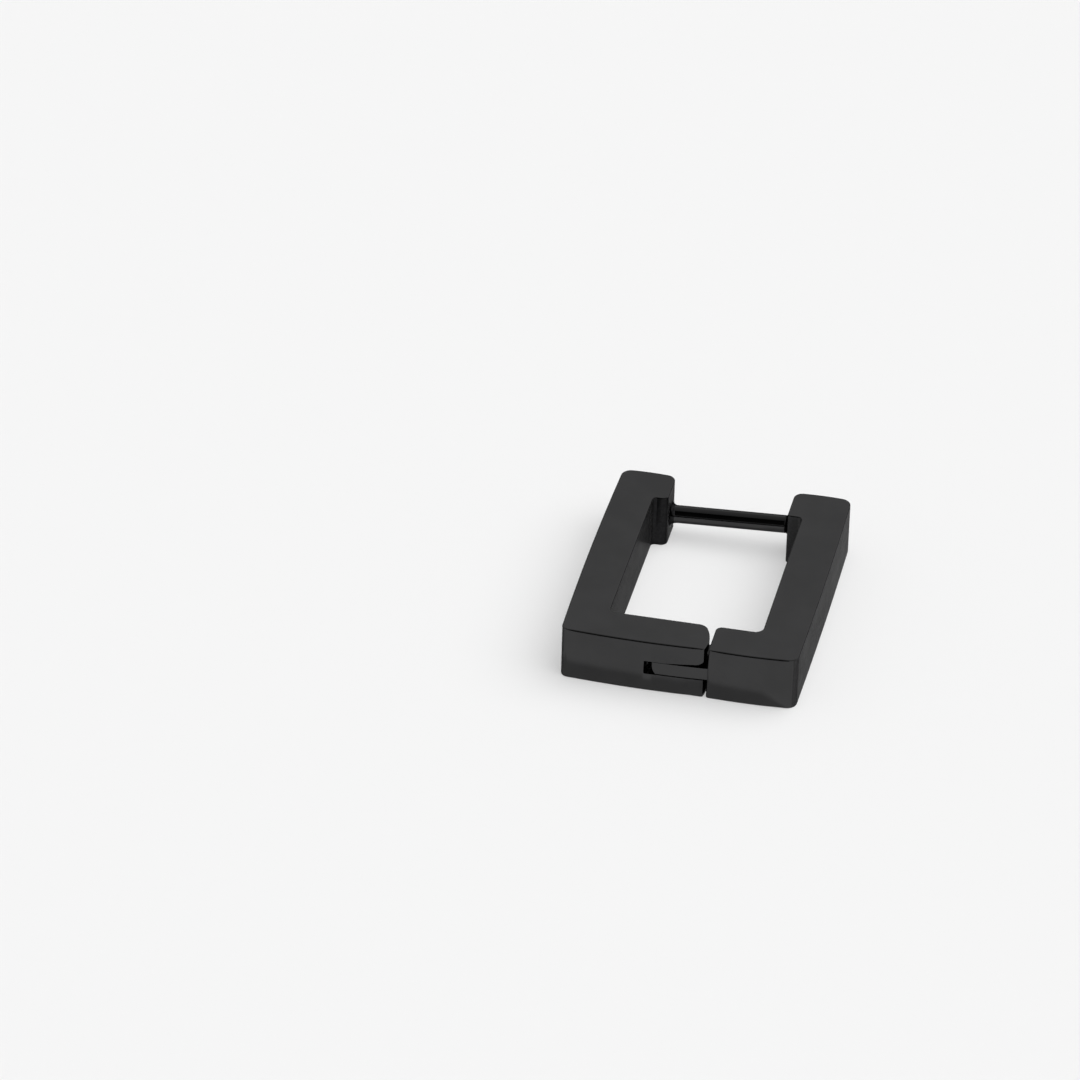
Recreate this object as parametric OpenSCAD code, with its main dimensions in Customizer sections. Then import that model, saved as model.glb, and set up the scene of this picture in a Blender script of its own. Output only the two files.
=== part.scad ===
// Square huggie earring, lying on one flat face.
// X runs across the two arms, Y from the hinge bar to the arms' free ends, Z up through the thickness.
// The origin is the middle of the outline, on the face that it lies on. Millimetres.

/* [Frame] */
// Outside width, across both arms at the middle of their length
frame_w = 11; // [10:0.5:14]
// Outside length, from the hinge bar's outer face to the arms' free ends
frame_l = 14; // [12:0.5:18]
// Thickness, from the face it lies on to the face that shows
frame_t = 2.6; // [2.5:0.1:3.2]
// How far the long half's outer side bows out at its middle
long_side_bow = 0.1; // [0.05:0.01:0.2]
// How far the short half's outer side bows out at its middle
short_side_bow = 0.06; // [0.05:0.01:0.2]
// Large radius that the long half's front face is polished to
long_front_r = 45; // [30:5:80]
// Large radius that the short half's front face is polished to
short_front_r = 22; // [16:2:40]
// Large radius that each arm's end face is polished to
end_face_r = 11; // [8:1:20]
// Plan radius of the long half's outer corner beside the hinge bar
long_corner_r = 0.4; // [0.2:0.05:0.6]
// Plan radius of the short half's outer corner beside the hinge bar
short_corner_r = 0.5; // [0.2:0.05:0.6]
// Plan radius of the outer corners at the arms' free ends
end_corner_r = 0.5; // [0.2:0.05:0.6]

/* [Arms and heads] */
// Width of the arm on the long half
long_arm_w = 1.93; // [1.6:0.01:2.3]
// Width of the arm on the short half
short_arm_w = 2.03; // [1.8:0.01:2.3]
// Width of the hinge bar
bar_w = 2.06; // [2:0.02:2.3]
// Length of the thickened head at each arm's free end
head_l = 2.1; // [1.8:0.05:2.6]
// How far each head stands in from its arm
head_step = 0.7; // [0.6:0.02:0.8]
// Plan radius of the heads' inner corners at their free ends
head_end_r = 0.44; // [0.2:0.02:0.5]
// Plan radius of the long half's head where it steps in from the arm
long_step_r = 0.32; // [0.1:0.02:0.36]
// Plan radius of the short half's head where it steps in from the arm
short_step_r = 0.14; // [0.1:0.02:0.36]
// Fillet between each arm and its head
head_fillet_r = 0.2; // [0.1:0.02:0.22]
// Fillet between the long half's arm and the bar
long_fillet_r = 0.32; // [0.1:0.02:0.5]
// Fillet between the short half's arm and the bar
short_fillet_r = 0.4; // [0.1:0.02:0.5]

/* [Hinge] */
// Distance from the long half's outer side to the short half's face at the seam
seam_from_side = 6.84; // [6.6:0.02:7.4]
// How far the short half's face leans back over the tongue, by the top
seam_draft = 0.05; // [0.04:0.01:0.1]
// Smallest gap at the seam between the fork's ears and the short half
seam_gap = 0.06; // [0.06:0.01:0.12]
// Plan radius of the ears' ends
ear_end_r = 2.4; // [2.4:0.2:4]
// Distance from the bar's outer face in to the highest point of the ears' ends
ear_top_in = 0.72; // [0.7:0.01:0.85]
// Radius of the ears' inner corners at the seam
ear_corner_r = 0.5; // [0.3:0.05:0.8]
// Radius of the short half's inner corner at the seam
block_corner_r = 0.3; // [0.1:0.02:0.4]
// Radius of the short half's outer corner at the seam
seam_edge_r = 0.15; // [0.05:0.01:0.2]
// Height of the underside of the tongue
tongue_z = 0.94; // [0.9:0.01:1.05]
// Thickness of the tongue
tongue_t = 0.62; // [0.5:0.02:0.7]
// Play under the tongue in its slot
play_under = 0.035; // [0.02:0.005:0.06]
// Play over the tongue in its slot
play_over = 0.015; // [0.015:0.005:0.04]
// How far the tongue reaches past the seam, at the bar's outer face
tongue_reach = 2.49; // [2.4:0.01:2.6]
// Radius that the lower edge of the tongue's end is rounded to
tongue_end_r = 0.78; // [0.7:0.02:0.9]
// How far up the tongue's end that rounding starts
tongue_end_up = 0.44; // [0.3:0.02:0.46]
// Gap between the end of the tongue and the end of the slot, at the bar's outer face
slot_end_gap = 0.38; // [0.3:0.01:0.5]
// Distance from the seam back to the hinge axis
axis_back = 1.6; // [1.58:0.01:1.64]
// Distance from the bar's outer face in to the hinge axis
axis_in = 0.68; // [0.64:0.01:0.7]
// Radius of the hinge pin
pin_r = 0.33; // [0.25:0.01:0.36]
// Radial play of the pin in the tongue
pin_play = 0.04; // [0.02:0.01:0.06]
// Radial gap between the pin and the ears that hold it
pin_seat_gap = 0.015; // [0.01:0.005:0.02]
// Metal left over the pin's blind end, so that it doesn't show on the upper face
pin_cover = 0.6; // [0.4:0.05:0.7]
// Length over which the upper ear's underside slopes up off the tongue, as far as the ear's end
lip_l = 1.9; // [1.4:0.05:2]
// How far that slope rises by the ear's end
lip_rise = 0.16; // [0.1:0.01:0.2]
// Radius of the upper ear's lower corner at its end
lip_corner_r = 0.5; // [0.2:0.05:0.6]

/* [Ear post] */
// Radius of the post
post_r = 0.42; // [0.35:0.01:0.45]
// How much the post rises from its soldered root to the catch
post_rise = 0.29; // [0:0.01:0.32]
// Concave radius of the solder round the post's root
solder_r = 0.28; // [0.1:0.02:0.3]
// Radius where the nose starts at the catch
nose_r = 0.32; // [0.28:0.01:0.34]
// Radius at the end of the nose
tip_r = 0.2; // [0.15:0.01:0.24]
// How far the nose reaches into the catch
nose_l = 0.75; // [0.5:0.05:0.8]
// Radius of the catch hole
catch_r = 0.5; // [0.48:0.01:0.55]
// Depth of the catch hole
catch_depth = 1.15; // [1:0.05:1.3]

/* [Hidden] */
$fn = 96;
// The faces' arcs have large radii, so they take more steps than the small rounds
face_steps = 1440;
// Cutting shapes run past the metal by this much
over = 1;
// Pieces of one solid run into each other by this much
bite = 0.6;
// Gap between the shaft's shoulder and the short half's head
shoulder_gap = 0.03;
// The polished front faces stand out most at these places across the width
long_front_x = -1.5;
short_front_x = 2.9;

left_x = -frame_w / 2;
right_x = frame_w / 2;
front_y = -frame_l / 2;
end_y = frame_l / 2;
bar_y = front_y + bar_w;
head_y = end_y - head_l;
long_arm_x = left_x + long_arm_w;
short_arm_x = right_x - short_arm_w;
long_head_x = long_arm_x + head_step;
short_head_x = short_arm_x - head_step;

// Every outer face is part of a large circle: its centre is c, its radius r
long_side_r = (end_y * end_y + long_side_bow * long_side_bow) / (2 * long_side_bow);
long_side_c = [left_x + long_side_r, 0];
short_side_r = (end_y * end_y + short_side_bow * short_side_bow) / (2 * short_side_bow);
short_side_c = [right_x - short_side_r, 0];
long_front_c = [long_front_x, front_y + long_front_r];
short_front_c = [short_front_x, front_y + short_front_r];
long_end_c = [(left_x + long_head_x) / 2, end_y - end_face_r];
short_end_c = [(right_x + short_head_x) / 2, end_y - end_face_r];

seam_x = left_x + seam_from_side;
ear_top_x = seam_x - seam_gap;
ear_end_c = [ear_top_x - ear_end_r, front_y + ear_top_in];
tongue_end_x = seam_x - tongue_reach;
tongue_top_z = tongue_z + tongue_t;
slot_end_x = tongue_end_x - slot_end_gap;
slot_z = tongue_z - play_under;
roof_z = tongue_top_z + play_over;
draft_angle = atan(seam_draft / (frame_t - tongue_top_z));
axis_x = seam_x - axis_back;
axis_y = front_y + axis_in;
// The tongue's end is a round knuckle about the axis, through its corner at the bar's outer face
knuckle_r = norm([tongue_end_x - axis_x, axis_in]);
pin_top_z = frame_t - pin_cover;

post_y = end_y - head_l / 2;
post_span = short_head_x - long_head_x;
post_angle = atan(post_rise / post_span);
// The post crosses mid thickness halfway between the heads
post_root_z = frame_t / 2 - post_rise / 2;
catch_z = post_root_z + (post_span + nose_l / 2) * tan(post_angle);

// The centre of a round of radius r that touches the circles a and b from inside, on the given side
// of the line from a to b
function between(a, a_r, b, b_r, r, side) =
    let (d = norm(b - a), p = a_r - r, q = b_r - r)
    let (m = (p * p - q * q + d * d) / (2 * d), h = sqrt(p * p - m * m), u = (b - a) / d)
    a + m * u + side * h * [-u[1], u[0]];
// The same for a circle a and an upright line, when the round's centre is at x
function beside(a, a_r, x, r, side) =
    [x, a[1] + side * sqrt((a_r - r) * (a_r - r) - (x - a[0]) * (x - a[0]))];
// The same for a circle a and a level line, when the round's centre is at y
function level_with(a, a_r, y, r, side) =
    [a[0] + side * sqrt((a_r - r) * (a_r - r) - (y - a[1]) * (y - a[1])), y];
// The direction from a circle's centre a through c
function away(a, c) = (c - a) / norm(c - a);

// What a corner loses outside a round of radius r at c, which touches its faces in the directions a and b
module corner_waste(c, r, a, b) {
    reach = 1.4 * r;
    difference() {
        polygon([c, c + reach * a, c + reach * (a + b), c + reach * b]);
        translate(c) circle(r);
    }
}

// The part of a square corner at p that lies outside its round of radius r, towards the direction way
module spandrel(p, r, way) {
    difference() {
        translate([min(p[0], p[0] + way[0] * r), min(p[1], p[1] + way[1] * r)]) square(r);
        translate(p + r * way) circle(r);
    }
}

// One half's outside from above: three polished faces that meet in round corners; side is -1 or 1
module outside(side_c, side_r, front_c, front_r, end_c, corner_r, side) {
    near = between(side_c, side_r, front_c, front_r, corner_r, -side);
    far = between(side_c, side_r, end_c, end_face_r, end_corner_r, side);
    difference() {
        intersection() {
            translate([side < 0 ? left_x : 0, front_y]) square([frame_w, frame_l]);
            translate(side_c) circle(side_r, $fn = face_steps);
            translate(front_c) circle(front_r, $fn = face_steps);
            translate(end_c) circle(end_face_r, $fn = face_steps);
        }
        corner_waste(near, corner_r, away(side_c, near), away(front_c, near));
        corner_waste(far, end_corner_r, away(side_c, far), away(end_c, far));
    }
}

// The opening that the ear lobe fills, with filleted corners, and the neck between the two heads
module opening_plan() {
    difference() {
        translate([long_arm_x, bar_y]) square([short_arm_x - long_arm_x, head_y - bar_y]);
        spandrel([long_arm_x, bar_y], long_fillet_r, [1, 1]);
        spandrel([short_arm_x, bar_y], short_fillet_r, [-1, 1]);
        spandrel([long_arm_x, head_y], head_fillet_r, [1, -1]);
        spandrel([short_arm_x, head_y], head_fillet_r, [-1, -1]);
    }
    translate([long_head_x, head_y - bite]) square([post_span, head_l + bite + over]);
    spandrel([long_head_x, head_y], long_step_r, [-1, 1]);
    spandrel([short_head_x, head_y], short_step_r, [1, 1]);
}

// The long half from above: its arm and head, and the bar as far as the ears' ends
module long_plan() {
    head_corner = beside(long_end_c, end_face_r, long_head_x - head_end_r, head_end_r, 1);
    inner_corner = level_with(ear_end_c, ear_end_r, bar_y - ear_corner_r, ear_corner_r, 1);
    difference() {
        outside(long_side_c, long_side_r, long_front_c, long_front_r, long_end_c, long_corner_r, -1);
        opening_plan();
        difference() {
            translate([ear_top_x - bite, front_y - over]) square([frame_w, frame_l + 2 * over]);
            translate(ear_end_c) circle(ear_end_r, $fn = face_steps);
        }
        corner_waste(head_corner, head_end_r, [1, 0], away(long_end_c, head_corner));
        corner_waste(inner_corner, ear_corner_r, away(ear_end_c, inner_corner), [0, 1]);
    }
}

// What the short half loses from above at its seam
module seam_waste() {
    inner_corner = [seam_x + block_corner_r, bar_y - block_corner_r];
    outer_corner = beside(short_front_c, short_front_r, seam_x + seam_edge_r, seam_edge_r, -1);
    translate([seam_x - over, front_y - over]) square([over, bar_w + 2 * over]);
    corner_waste(inner_corner, block_corner_r, [-1, 0], [0, 1]);
    corner_waste(outer_corner, seam_edge_r, [-1, 0], away(short_front_c, outer_corner));
}

// The short half from above, without its tongue
module short_plan() {
    head_corner = beside(short_end_c, end_face_r, short_head_x + head_end_r, head_end_r, 1);
    difference() {
        outside(short_side_c, short_side_r, short_front_c, short_front_r, short_end_c, short_corner_r, 1);
        opening_plan();
        translate([seam_x - frame_w, front_y - over]) square([frame_w, frame_l + 2 * over]);
        seam_waste();
        corner_waste(head_corner, head_end_r, [-1, 0], away(short_end_c, head_corner));
    }
}

// The fork's slot from the front: its roof slopes up off the tongue to the upper ear's round lower corner.
// The round reaches a hair below the slope, so that the two cross cleanly.
module slot_side() {
    slope = lip_rise / lip_l;
    run = [1, slope] / norm([1, slope]);
    start_x = ear_top_x - lip_l;
    far_x = start_x + frame_w;
    corner = [ear_top_x - lip_corner_r, roof_z + (lip_l - lip_corner_r) * slope + lip_corner_r];
    polygon([
        [slot_end_x, slot_z],
        [far_x, slot_z],
        [far_x, roof_z + frame_w * slope],
        [start_x, roof_z],
        [slot_end_x, roof_z],
    ]);
    corner_waste(corner, lip_corner_r, [run[1], -run[0]], [1, 0]);
}

// The round end of the tongue, with the lower edge of its end rounded off
module knuckle() {
    difference() {
        cylinder(h = tongue_t, r = knuckle_r);
        rotate_extrude() difference() {
            translate([knuckle_r - bite, -over]) square([bite + over, over + tongue_end_up]);
            translate([knuckle_r - tongue_end_r, tongue_end_up]) circle(tongue_end_r);
        }
    }
}

// The tongue: a strip of the bar, ended by the knuckle and flush with the ears' outer face
module tongue() {
    intersection() {
        linear_extrude(frame_t) translate(long_front_c) circle(long_front_r, $fn = face_steps);
        union() {
            translate([axis_x, axis_y, tongue_z]) knuckle();
            translate([axis_x, front_y, tongue_z]) cube([seam_x + bite - axis_x, bar_w, tongue_t]);
        }
    }
}

// The post along its own slanting axis, with its shoulder and tapered nose, and the solder round its root
module ear_post() {
    shoulder = post_span - shoulder_gap;
    translate([long_head_x, post_y, post_root_z]) {
        rotate([0, 90 - post_angle, 0]) {
            translate([0, 0, -bite]) cylinder(h = bite + shoulder, r = post_r);
            translate([0, 0, shoulder]) cylinder(h = shoulder_gap + nose_l, r1 = nose_r, r2 = tip_r);
        }
        rotate([0, 90, 0]) {
            rotate_extrude() difference() {
                square([post_r + solder_r, solder_r]);
                translate([post_r + solder_r, solder_r]) circle(solder_r);
            }
            translate([0, 0, -bite / 4]) cylinder(h = bite / 4, r = post_r + solder_r);
        }
    }
}

// Arm, head and two hinge ears, with the ear post soldered in: one solid
module long_half() {
    color([0.05, 0.05, 0.055]) {
        difference() {
            linear_extrude(frame_t) long_plan();
            translate([0, bar_y + over, 0]) rotate([90, 0, 0]) linear_extrude(bar_w + 2 * over) slot_side();
            translate([axis_x, axis_y, -over])
                cylinder(h = over + pin_top_z + pin_seat_gap, r = pin_r + pin_seat_gap);
        }
        ear_post();
    }
}

// Arm and head with the catch hole, and the tongue that turns between the ears: one solid
module short_half() {
    color([0.05, 0.05, 0.055]) difference() {
        union() {
            difference() {
                linear_extrude(frame_t) short_plan();
                translate([seam_x, 0, tongue_top_z]) rotate([0, draft_angle, 0])
                    linear_extrude(frame_t) translate([-seam_x, 0]) seam_waste();
            }
            tongue();
        }
        translate([axis_x, axis_y, -over]) cylinder(h = frame_t + 2 * over, r = pin_r + pin_play);
        translate([short_head_x - over, post_y, catch_z]) rotate([0, 90, 0])
            cylinder(h = over + catch_depth, r = catch_r);
    }
}

// Plain pin, flush with the face that the earring lies on
module hinge_pin() {
    color([0.12, 0.12, 0.13]) translate([axis_x, axis_y, 0]) cylinder(h = pin_top_z, r = pin_r);
}

long_half();
short_half();
hinge_pin();
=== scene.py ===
import math
import bpy
import numpy as np
from mathutils import Euler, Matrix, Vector


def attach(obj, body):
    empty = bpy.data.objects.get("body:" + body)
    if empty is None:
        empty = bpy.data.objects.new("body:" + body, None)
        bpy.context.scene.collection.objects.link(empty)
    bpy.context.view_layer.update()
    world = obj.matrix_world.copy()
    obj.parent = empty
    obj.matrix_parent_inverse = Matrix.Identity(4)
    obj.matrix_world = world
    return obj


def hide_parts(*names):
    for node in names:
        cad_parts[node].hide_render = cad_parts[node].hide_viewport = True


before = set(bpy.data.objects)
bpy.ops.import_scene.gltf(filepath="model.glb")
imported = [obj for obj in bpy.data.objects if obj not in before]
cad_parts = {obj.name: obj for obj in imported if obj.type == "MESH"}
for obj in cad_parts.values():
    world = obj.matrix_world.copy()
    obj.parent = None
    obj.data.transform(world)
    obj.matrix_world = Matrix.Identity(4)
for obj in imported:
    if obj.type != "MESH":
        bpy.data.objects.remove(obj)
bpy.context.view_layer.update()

# The shapes are worked out in millimetres, in the frame of the CAD model, and put into the meshes in metres.
mm = 0.001
scene = bpy.context.scene

cameraPlace = {"spot": (45.702, -262.323, 177.123), "turn": (56.89708, -1.26934, 12.37018), "lens": 231.93,
               "sensor": 36, "near": 0.01, "far": 20}
cameraData = bpy.data.cameras.new("camera")
cameraData.lens = cameraPlace["lens"]
cameraData.sensor_width = cameraPlace["sensor"]
cameraData.clip_start, cameraData.clip_end = cameraPlace["near"], cameraPlace["far"]
camera = bpy.data.objects.new("camera", cameraData)
camera.location = Vector(cameraPlace["spot"]) * mm
camera.rotation_euler = Euler([math.radians(a) for a in cameraPlace["turn"]], "XYZ")
scene.collection.objects.link(camera)
scene.camera = camera


# The centre of a round of the given radius that touches circles a and b from inside. It lies where circles of
# the radii less the round's radius cross, on the given side of the line from a to b.
def between(a, aRadius, b, bRadius, radius, side):
    apart = np.linalg.norm(b - a)
    p, q = aRadius - radius, bRadius - radius
    along = (p * p - q * q + apart * apart) / (2 * apart)
    out = math.sqrt(p * p - along * along)
    u = (b - a) / apart
    return a + along * u + side * out * np.array([-u[1], u[0]])


# The centre of such a round that touches circle a alone. It stands at x, above (1) or below (-1) the circle's
# centre, or at y, on its right (1) or left (-1).
def standingAt(a, aRadius, radius, side, x=None, y=None):
    if y is None:
        return np.array([x, a[1] + side * math.sqrt((aRadius - radius) ** 2 - (x - a[0]) ** 2)])
    return np.array([a[0] + side * math.sqrt((aRadius - radius) ** 2 - (y - a[1]) ** 2), y])


# The direction from a to c.
def away(a, c):
    return (c - a) / np.linalg.norm(c - a)


# Points round a circle, the short way from the direction start to the direction end.
def arc(centre, radius, start, end, steps):
    first = math.atan2(start[1], start[0])
    turn = (math.atan2(end[1], end[0]) - first + math.pi) % (2 * math.pi) - math.pi
    a = first + turn * np.linspace(0, 1, steps + 1)
    return np.asarray(centre) + radius * np.column_stack([np.cos(a), np.sin(a)])


# Runs of points joined into one closed outline, without the points that two runs share.
def outline(*runs, same=1e-5):
    loop = np.vstack([np.atleast_2d(run) for run in runs])
    return loop[np.linalg.norm(loop - np.roll(loop, 1, axis=0), axis=1) > same]


# How far each point of an anticlockwise outline moves for one millimetre of inset: along the mean of its two
# sides' inward normals, lengthened by 1 / cos(half the turn) so that both sides move by the same amount. The
# lengthening is held at very sharp corners.
def insetWays(loop, sharpest=0.2):
    side = np.roll(loop, -1, axis=0) - loop
    side /= np.linalg.norm(side, axis=1)[:, None]
    inward = np.column_stack([-side[:, 1], side[:, 0]])
    both = inward + np.roll(inward, 1, axis=0)
    return both / np.maximum((both * both).sum(axis=1) / 2, sharpest)[:, None]


# The faces of a closed grid of rings, with a flat face over the first ring and one over the last.
def ringFaces(rings, around):
    index = np.arange(rings * around).reshape(rings, around)
    after = np.roll(index, -1, axis=1)
    walls = np.stack([index[:-1], after[:-1], after[1:], index[1:]], axis=-1).reshape(-1, 4)
    return walls.tolist() + [index[0, ::-1].tolist(), index[-1].tolist()]


# A profile turned round an axis: the point for (u, v) is the root plus the distance(v) along the axis plus the
# radius(v) times the direction at the angle u.
def turnedProfile(profile, steps, root, axis):
    distance, radius = np.array(profile, dtype=float).T
    axis = np.array(Vector(axis).normalized())
    across = np.cross(axis, [0, 1, 0] if abs(axis[1]) < 0.9 else [1, 0, 0])
    across /= np.linalg.norm(across)
    u = np.linspace(0, 2 * math.pi, steps, endpoint=False)
    ring = np.cos(u)[:, None] * across + np.sin(u)[:, None] * np.cross(axis, across)
    points = np.array(root) + distance[:, None, None] * axis + radius[:, None, None] * ring[None, :, :]
    return points.reshape(-1, 3), ringFaces(len(distance), steps)


# A closed shape, its points and faces, as an object in the scene.
def solid(name, shape):
    points, faces = shape
    mesh = bpy.data.meshes.new(name)
    mesh.from_pydata(points.tolist(), [], faces)
    mesh.update()
    obj = bpy.data.objects.new(name, mesh)
    scene.collection.objects.link(obj)
    return obj


smoothing = {"sharpAngle": 33, "faceWeight": 90}


# Joins or cuts the given solids one after another, drops them, and leaves the result in metres with smooth
# rounds, sharp corners over the angle, and normals that follow the large faces.
def finished(obj, steps):
    for kind, other in steps:
        cut = obj.modifiers.new(kind, "BOOLEAN")
        cut.operation = kind
        cut.solver = "EXACT"
        cut.object = other
    graph = bpy.context.evaluated_depsgraph_get()
    mesh = bpy.data.meshes.new_from_object(obj.evaluated_get(graph))
    obj.modifiers.clear()
    obj.data = mesh
    for _, other in steps:
        bpy.data.objects.remove(other)
    co = np.empty(len(mesh.vertices) * 3)
    mesh.vertices.foreach_get("co", co)
    mesh.vertices.foreach_set("co", co * mm)
    mesh.update()
    mesh.shade_smooth()
    mesh.set_sharp_from_angle(angle=math.radians(smoothing["sharpAngle"]))
    weigh = obj.modifiers.new("evenNormals", "WEIGHTED_NORMAL")
    weigh.keep_sharp = True
    weigh.weight = smoothing["faceWeight"]
    weigh.thresh = 0
    return obj


# What both halves share: the closed frame's outside, polished to large arcs, and its heads. A fade is the
# distance where the bar's rounder arris starts to change, and the length over which it does. The one at the seam
# counts from a little left of it.
frameSize = {
    "width": 11.0, "length": 14.0, "thickness": 2.6, "endFace": 11.0, "endCorner": 0.5, "bar": 2.06,
    "headLength": 2.1, "headStep": 0.7, "headEnd": 0.44, "headFillet": 0.2,
    "barEdge": 0.08, "edge": 0.045, "capMargin": 0.012,
    "frontFade": (0.15, 0.35), "cornerFade": (0.2, 0.6), "seamFade": (0.15, 0.5), "seamFadeLeft": 0.05,
    "edgeSteps": 6, "faceSteps": 36, "endSteps": 14, "cornerSteps": 10,
}
leftX, rightX = -frameSize["width"] / 2, frameSize["width"] / 2
frontY, endY = -frameSize["length"] / 2, frameSize["length"] / 2
barY, headY = frontY + frameSize["bar"], endY - frameSize["headLength"]
thickness = frameSize["thickness"]
endFace, endCorner = frameSize["endFace"], frameSize["endCorner"]
headEnd, headFillet = frameSize["headEnd"], frameSize["headFillet"]
faceSteps, endSteps, cornerSteps = frameSize["faceSteps"], frameSize["endSteps"], frameSize["cornerSteps"]


# A slab over an outline with quarter-round edges: at the angle a of the round, the point for (u, a) is outline(u)
# moved inwards by width(u) * (1 - sin(a)), at width(u) * (1 - cos(a)) from the face.
def roundedSlab(loop, width, levels=()):
    a = np.linspace(0, math.pi / 2, frameSize["edgeSteps"] + 1)[:, None]
    margin, ones = frameSize["capMargin"], np.ones((1, len(loop)))
    inset = np.vstack([width + margin * ones, width * (1 - np.sin(a)), 0 * ones])
    up = np.vstack([0 * ones, width * (1 - np.cos(a)), width + margin * ones])
    middle = np.array(levels, dtype=float)[:, None] * ones
    inset = np.vstack([inset, 0 * middle, inset[::-1]])
    level = np.vstack([up, middle, thickness - up[::-1]])
    plan = loop[None, :, :] + inset[:, :, None] * insetWays(loop)[None, :, :]
    return np.dstack([plan, level]).reshape(-1, 3), ringFaces(*level.shape)


# 0 up to a start and 1 from the start plus a length on, with a straight ramp between.
def ramp(value, start, length):
    return np.clip((value - start) / length, 0, 1)


# The bar's outer arrises are polished rounder than all the others, except close to the seam and the corners.
def edgeWidths(loop):
    x, y = loop.T
    onBar = 1 - ramp(y - frontY, *frameSize["frontFade"])
    onBar = onBar * ramp(rightX - np.abs(x), *frameSize["cornerFade"])
    onBar = onBar * ramp(np.abs(x - seamX + frameSize["seamFadeLeft"]), *frameSize["seamFade"])
    return frameSize["edge"] + (frameSize["barEdge"] - frameSize["edge"]) * onBar


# An outer side bows out in the middle: its radius follows from the bow and the frame's length.
def sideRadius(bow):
    return (endY ** 2 + bow ** 2) / (2 * bow)


# The long half: the arm and head on the left, and the bar as far as the fork's ears
longSize = {"arm": 1.93, "sideBow": 0.1, "frontFace": 45.0, "frontPeak": -1.5, "corner": 0.4, "step": 0.32,
            "fillet": 0.32}
longArmX = leftX + longSize["arm"]
longHeadX = longArmX + frameSize["headStep"]
longSide = np.array([leftX + sideRadius(longSize["sideBow"]), 0])
longFront = np.array([longSize["frontPeak"], frontY + longSize["frontFace"]])
longEnd = np.array([(leftX + longHeadX) / 2, endY - endFace])


# The long half from above: up the ears' ends, along the bar, arm and head inside, and back outside.
def longOutline():
    radius, frontFace, corner = sideRadius(longSize["sideBow"]), longSize["frontFace"], longSize["corner"]
    fillet, step = longSize["fillet"], longSize["step"]
    earCorner, earEdge, earRadius = hingeSize["earCorner"], hingeSize["earEdge"], hingeSize["earEnd"]
    seamEdge = between(longFront, frontFace, earEnd, earRadius, earEdge, 1)
    inner = standingAt(earEnd, earRadius, earCorner, 1, y=barY - earCorner)
    head = standingAt(longEnd, endFace, headEnd, 1, x=longHeadX - headEnd)
    far = between(longSide, radius, longEnd, endFace, endCorner, -1)
    near = between(longSide, radius, longFront, frontFace, corner, 1)
    return outline(
        arc(earEnd, earRadius, away(earEnd, seamEdge), away(earEnd, inner), hingeSize["earSteps"]),
        arc(inner, earCorner, away(earEnd, inner), (0, 1), cornerSteps),
        arc((longArmX + fillet, barY + fillet), fillet, (0, -1), (-1, 0), cornerSteps),
        arc((longArmX + headFillet, headY - headFillet), headFillet, (-1, 0), (0, 1), cornerSteps),
        arc((longHeadX - step, headY + step), step, (0, -1), (1, 0), cornerSteps),
        arc(head, headEnd, (1, 0), away(longEnd, head), cornerSteps),
        arc(longEnd, endFace, away(longEnd, head), away(longEnd, far), endSteps),
        arc(far, endCorner, away(longEnd, far), away(longSide, far), cornerSteps),
        arc(longSide, radius, away(longSide, far), away(longSide, near), faceSteps),
        arc(near, corner, away(longSide, near), away(longFront, near), cornerSteps),
        arc(longFront, frontFace, away(longFront, near), away(longFront, seamEdge), faceSteps),
        arc(seamEdge, earEdge, away(longFront, seamEdge), away(earEnd, seamEdge), hingeSize["edgeSteps"]))


# The short half: the arm and head on the right, and the block of the bar beside the seam, with the catch hole
shortSize = {"arm": 2.03, "sideBow": 0.06, "frontFace": 22.0, "frontPeak": 2.9, "corner": 0.5, "step": 0.14,
             "fillet": 0.4, "catch": 0.5, "catchDepth": 1.15, "catchMouth": 0.06, "catchSteps": 72}
shortArmX = rightX - shortSize["arm"]
shortHeadX = shortArmX - frameSize["headStep"]
shortSide = np.array([rightX - sideRadius(shortSize["sideBow"]), 0])
shortFront = np.array([shortSize["frontPeak"], frontY + shortSize["frontFace"]])
shortEnd = np.array([(rightX + shortHeadX) / 2, endY - endFace])


# The short half from above: along the front, up the side, round the head, down the arm and the seam's face.
def shortOutline():
    radius, frontFace, corner = sideRadius(shortSize["sideBow"]), shortSize["frontFace"], shortSize["corner"]
    fillet, step = shortSize["fillet"], shortSize["step"]
    seamEdge, blockCorner = hingeSize["seamEdge"], hingeSize["blockCorner"]
    edge = standingAt(shortFront, frontFace, seamEdge, -1, x=seamX + seamEdge)
    near = between(shortSide, radius, shortFront, frontFace, corner, -1)
    far = between(shortSide, radius, shortEnd, endFace, endCorner, 1)
    head = standingAt(shortEnd, endFace, headEnd, 1, x=shortHeadX + headEnd)
    return outline(
        arc(edge, seamEdge, (-1, 0), away(shortFront, edge), hingeSize["edgeSteps"]),
        arc(shortFront, frontFace, away(shortFront, edge), away(shortFront, near), faceSteps),
        arc(near, corner, away(shortFront, near), away(shortSide, near), cornerSteps),
        arc(shortSide, radius, away(shortSide, near), away(shortSide, far), faceSteps),
        arc(far, endCorner, away(shortSide, far), away(shortEnd, far), cornerSteps),
        arc(shortEnd, endFace, away(shortEnd, far), away(shortEnd, head), endSteps),
        arc(head, headEnd, away(shortEnd, head), (-1, 0), cornerSteps),
        arc((shortHeadX + step, headY + step), step, (-1, 0), (0, -1), cornerSteps),
        arc((shortArmX - headFillet, headY - headFillet), headFillet, (0, 1), (1, 0), cornerSteps),
        arc((shortArmX - fillet, barY + fillet), fillet, (1, 0), (0, -1), cornerSteps),
        arc((seamX + blockCorner, barY - blockCorner), blockCorner, (0, 1), (-1, 0), cornerSteps))


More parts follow.
